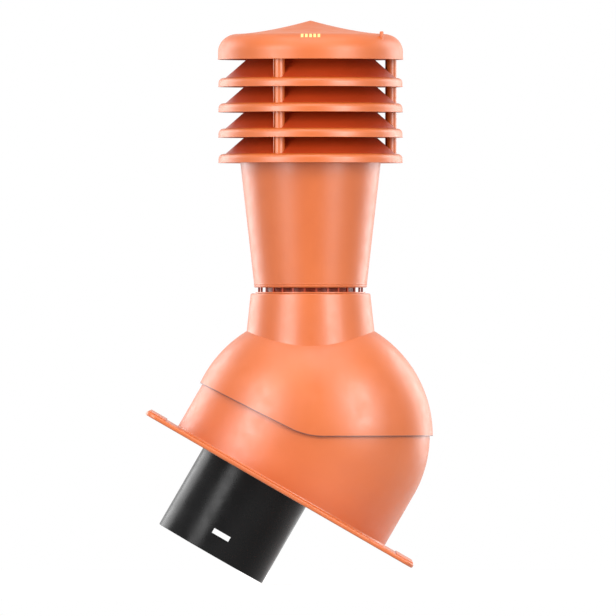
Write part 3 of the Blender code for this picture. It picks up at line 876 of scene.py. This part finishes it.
select_rim(shell)
flank_drop = AXIS_HEIGHT - PLATE_THICKNESS - FLARE
bpy.ops.mesh.extrude_edges_move(TRANSFORM_OT_translate={"value": (0, 0, -flank_drop)})
flare_arc = arc((FLARE, FLARE), (FLARE, FLARE), 180, 270, 5)
for here, there in zip(flare_arc, flare_arc[1:]):
    bpy.ops.mesh.extrude_edges_move(TRANSFORM_OT_translate={"value": (0, 0, there[1] - here[1])})
    wider_x = (SHELL_RADIUS + there[0]) / (SHELL_RADIUS + here[0])
    wider_y = (SHELL_HALF_DEPTH + there[0]) / (SHELL_HALF_DEPTH + here[0])
    bpy.ops.transform.resize(value=(wider_x, wider_y, 1), center_override=(0, 0, 0))
bpy.ops.mesh.extrude_edges_move(TRANSFORM_OT_translate={"value": (0, 0, -PLATE_THICKNESS / 3)})
bpy.ops.object.mode_set(mode="OBJECT")
print("flanks", round(flank_drop, 4), "deep")

# %% [markdown]
# ## Air opening and wall
#
# The opening has to stay under the hood however far the hood tilts. Its two ends are therefore cut by
# planes through the tilt axis, at angles that the hood always covers, and its sides by upright planes.

# %% Air opening and the shell's wall
OPENING_START = math.radians(61.4)
OPENING_END = math.radians(153.6)
OPENING_HALF_WIDTH = 0.0632
opening_planes = []
for angle in (OPENING_START, OPENING_END):
    opening_planes.append((shell_centre, Vector((-math.sin(angle), 0, math.cos(angle)))))
for side in (-1, 1):
    opening_planes.append((Vector((0, side * OPENING_HALF_WIDTH, 0)), Vector((0, 1, 0))))
take(shell)
bpy.ops.object.mode_set(mode="EDIT")
for point, normal in opening_planes:
    bpy.ops.mesh.select_all(action="SELECT")
    bpy.ops.mesh.bisect(plane_co=point, plane_no=normal)
bpy.ops.mesh.select_mode(type="FACE")
bpy.ops.object.mode_set(mode="OBJECT")


def in_opening(face):
    """Whether a face of the shell lies between the opening's planes."""
    arm = face.center - shell_centre
    between = OPENING_START < math.atan2(arm.z, arm.x) < OPENING_END
    return between and abs(arm.y) < OPENING_HALF_WIDTH


cut_away(shell, in_opening)
give_wall(shell, SHELL_WALL)
print("shell", len(shell.data.polygons), "faces")

# %% [markdown]
# ## The plate
#
# A thin rectangular plate with rounded corners. A low lip runs across each end, where the tiles above and
# below overlap it. The box primitive gets its corners from a bevel of the upright edges, and a finer
# bevel then softens every edge, because a moulding never has a knife edge.

# %% Plate
PLATE_LENGTH = 0.322
PLATE_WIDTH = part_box("roof_base")[1][1] * 2
PLATE_CORNER = 0.012
PLATE_ROUNDING = 0.0017
LIP_WIDTH = 0.020
LIP_HEIGHT = 0.0012
LIP_INSET = 0.0015
LIP_ROUNDING = 0.0006


def bar(name, size, centre):
    """A box of a size at a place, in the roof's level frame."""
    bpy.ops.object.select_all(action="DESELECT")
    bpy.ops.mesh.primitive_cube_add(size=1, location=centre)
    piece = bpy.context.active_object
    piece.name = name
    piece.scale = size
    to_world(piece)
    return piece


plate = bar(
    "roof_base_moulding", (PLATE_LENGTH, PLATE_WIDTH, PLATE_THICKNESS), (0, 0, PLATE_THICKNESS / 2)
)
take(plate)
bpy.ops.object.mode_set(mode="EDIT")
bpy.ops.mesh.select_mode(type="EDGE")
bpy.ops.mesh.select_all(action="DESELECT")
bpy.ops.object.mode_set(mode="OBJECT")
for edge in plate.data.edges:
    first, second = (plate.data.vertices[index].co for index in edge.vertices)
    edge.select = abs(first.z - second.z) > PLATE_THICKNESS / 2
bpy.ops.object.mode_set(mode="EDIT")
bpy.ops.mesh.bevel(offset=PLATE_CORNER, segments=10, affect="EDGES")
bpy.ops.object.mode_set(mode="OBJECT")
soften(plate, PLATE_ROUNDING, 4)
for side in (-1, 1):
    lip_centre = side * (PLATE_LENGTH / 2 - LIP_INSET - LIP_WIDTH / 2)
    lip_size = (LIP_WIDTH, PLATE_WIDTH - 2 * PLATE_CORNER, LIP_HEIGHT * 2)
    lip = bar("lip", lip_size, (lip_centre, 0, PLATE_THICKNESS))
    soften(lip, LIP_ROUNDING)
    combine(plate, lip, "UNION")
combine(plate, shell, "UNION")
print("plate and shell joined:", len(plate.data.polygons), "faces")

# %% [markdown]
# ## Hole for the duct
#
# The black pipe comes up through the plate inside the shell, uphill of its middle. A cylinder cuts its
# round hole. Then the whole moulding is turned from level to the slope of the roof. Weighted normals keep
# the plate's wide flat top looking flat up to its rounded edges.

# %% Duct hole and finish
DUCT_RADIUS = 0.0625
DUCT_SHIFT = 0.0289
DUCT_CLEARANCE = 0.0006
bpy.ops.object.select_all(action="DESELECT")
bpy.ops.mesh.primitive_cylinder_add(
    vertices=TURN_CORNERS,
    radius=DUCT_RADIUS + DUCT_CLEARANCE,
    depth=PLATE_THICKNESS * 3,
    location=(-DUCT_SHIFT, 0, PLATE_THICKNESS / 2),
)
combine(plate, bpy.context.active_object, "DIFFERENCE")
lay_on_slope(plate)
finish_piece(plate, "roof_base", "base", terracotta)
even_shading = plate.modifiers.new("even_shading", "WEIGHTED_NORMAL")
even_shading.keep_sharp = True
take(plate)
bpy.ops.object.modifier_apply(modifier="even_shading")

# %% [markdown]
# ## Duct pipe
#
# A thin black tube, square to the roof. It hangs in the plate by a flange inside the shell and is open at
# both ends. A small slot goes through its near and far wall. The tube is turned with soft edges, and one
# long block cuts both slots.

# %% Duct pipe
DUCT_WALL = 0.0025
DUCT_DROP = 0.0937
DUCT_RISE = 0.012
FLANGE_WIDTH = 0.012
FLANGE_FOOT = PLATE_THICKNESS + 0.0003
FLANGE_TOP = FLANGE_FOOT + 0.0025
END_ROUND = 0.0008
SLOT_LENGTH = 0.020
SLOT_HEIGHT = 0.007
SLOT_RISE = 0.0227  # the slots' middle above the pipe's lower end
SLOT_REACH = 0.005
bore = DUCT_RADIUS - DUCT_WALL
duct_section = [(DUCT_RADIUS, DUCT_RISE), (DUCT_RADIUS, FLANGE_TOP)]
duct_section += [(DUCT_RADIUS + FLANGE_WIDTH, FLANGE_TOP), (DUCT_RADIUS + FLANGE_WIDTH, FLANGE_FOOT)]
duct_section += [(DUCT_RADIUS, FLANGE_FOOT)]
duct_section += arc((DUCT_RADIUS - END_ROUND, END_ROUND - DUCT_DROP), (END_ROUND, END_ROUND), 0, -90, 5)
duct_section += arc((bore + END_ROUND, END_ROUND - DUCT_DROP), (END_ROUND, END_ROUND), -90, -180, 5)
duct_section += [(bore, DUCT_RISE), duct_section[0]]
duct = lathe("duct_pipe_moulding", duct_section, TURN_CORNERS)
slot_size = (SLOT_LENGTH, 2 * (DUCT_RADIUS + SLOT_REACH), SLOT_HEIGHT)
slot_block = bar("slot_block", slot_size, (0, 0, SLOT_RISE - DUCT_DROP))
combine(duct, slot_block, "DIFFERENCE")
duct.location.x = -DUCT_SHIFT
to_world(duct)
lay_on_slope(duct)
finish_piece(duct, "duct_pipe", "base", black_plastic)

# %% [markdown]
# ## Floor and light
#
# The photograph has a plain white ground. A pale round floor lies just under the pipe's end. It glows to
# the eye and in the plastic's sheen, so that it runs out into the white surroundings without an edge, but
# throws little light up at the object, whose undersides are dark in the photograph.

# %% Floor
FLOOR_RADIUS = 1.1
FLOOR_CORNERS = 96
FLOOR_GAP = 0.001
FLOOR_PALENESS = 0.35
FLOOR_ROUGHNESS = 0.9
FLOOR_GLOW = 0.85


def shown_strength(tree, hidden, shown):
    """One strength for the camera and the sheen, and another for what falls on the object."""
    path = tree.nodes.new("ShaderNodeLightPath")
    seen = of_two(tree, "MAXIMUM", path.outputs["Is Camera Ray"], path.outputs["Is Glossy Ray"])
    strength = tree.nodes.new("ShaderNodeMapRange")
    strength.inputs["To Min"].default_value = hidden
    strength.inputs["To Max"].default_value = shown
    tree.links.new(seen, strength.inputs["Value"])
    return strength.outputs["Result"]


bpy.ops.object.select_all(action="DESELECT")
floor_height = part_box("duct_pipe")[0][2] - FLOOR_GAP
bpy.ops.mesh.primitive_circle_add(
    vertices=FLOOR_CORNERS, radius=FLOOR_RADIUS, fill_type="NGON", location=(0, 0, floor_height)
)
floor = bpy.context.active_object
floor.name = "floor"
floor_material = bpy.data.materials.new("pale_floor")
floor_material.use_nodes = True
floor_tree = floor_material.node_tree
floor_shader = floor_tree.nodes["Principled BSDF"]
floor_shader.inputs["Base Color"].default_value = (*[FLOOR_PALENESS] * 3, 1.0)
floor_shader.inputs["Roughness"].default_value = FLOOR_ROUGHNESS
floor_shader.inputs["Emission Color"].default_value = (1.0, 1.0, 1.0, 1.0)
floor_glow = shown_strength(floor_tree, 0.0, FLOOR_GLOW)
floor_tree.links.new(floor_glow, floor_shader.inputs["Emission Strength"])
floor.data.materials.append(floor_material)
print("floor at", round(floor_height, 4))

# %% [markdown]
# ## Light
#
# Two wide soft lights stand left and right of the camera: they give the two upright bands of light that
# run down the mast and the hood. Two more stand behind the object on either side, for its pale edges, and
# a large one hangs overhead, so that each louvre shades the skirt below it. The surroundings look white,
# and white in the plastic's sheen, but light the object less than they show, or the gaps between the
# louvres would fill with light.

# %% Light
AMBIENT = 0.18
TOP_POWER = 35
TOP_PLACE = Vector((0, -0.6, 2.4))
TOP_SIZE = (2.2, 2.2)
LEFT_BAND_POWER = 28.5
RIGHT_BAND_POWER = 29
BAND_TURN = math.radians(41)
BAND_HEIGHT = 0.8
BAND_SIZE = (0.7, 1.4)
EDGE_POWER = 23
EDGE_TURN = math.radians(129)
EDGE_HEIGHT = 0.6
EDGE_SIZE = (1.2, 1.6)
LIGHT_DISTANCE = 1.8
world = bpy.data.worlds.new("studio")
bpy.context.scene.world = world
world.use_nodes = True
world_tree = world.node_tree
background = world_tree.nodes["Background"]
background.inputs["Color"].default_value = (1.0, 1.0, 1.0, 1.0)
world_tree.links.new(shown_strength(world_tree, AMBIENT, 1.0), background.inputs["Strength"])


def soft_light(name, place, size, power):
    """An area light at a place, aimed at the middle of the object."""
    data = bpy.data.lights.new(name, "AREA")
    data.shape = "RECTANGLE"
    data.size = size[0]
    data.size_y = size[1]
    data.energy = power
    light = bpy.data.objects.new(name, data)
    bpy.context.scene.collection.objects.link(light)
    light.location = place
    aim = Vector((0, 0, middle_z)) - place
    light.rotation_euler = aim.to_track_quat("-Z", "Y").to_euler()
    light.visible_camera = False


def around(turn, height):
    """A place at an angle from the camera's direction."""
    return Vector((LIGHT_DISTANCE * math.sin(turn), -LIGHT_DISTANCE * math.cos(turn), height))


soft_light("left_band", around(-BAND_TURN, BAND_HEIGHT), BAND_SIZE, LEFT_BAND_POWER)
soft_light("right_band", around(BAND_TURN, BAND_HEIGHT), BAND_SIZE, RIGHT_BAND_POWER)
soft_light("left_edge", around(-EDGE_TURN, EDGE_HEIGHT), EDGE_SIZE, EDGE_POWER)
soft_light("right_edge", around(EDGE_TURN, EDGE_HEIGHT), EDGE_SIZE, EDGE_POWER)
soft_light("top", TOP_PLACE, TOP_SIZE, TOP_POWER)
bpy.context.scene.view_settings.view_transform = "Standard"
print("ambient light", AMBIENT)
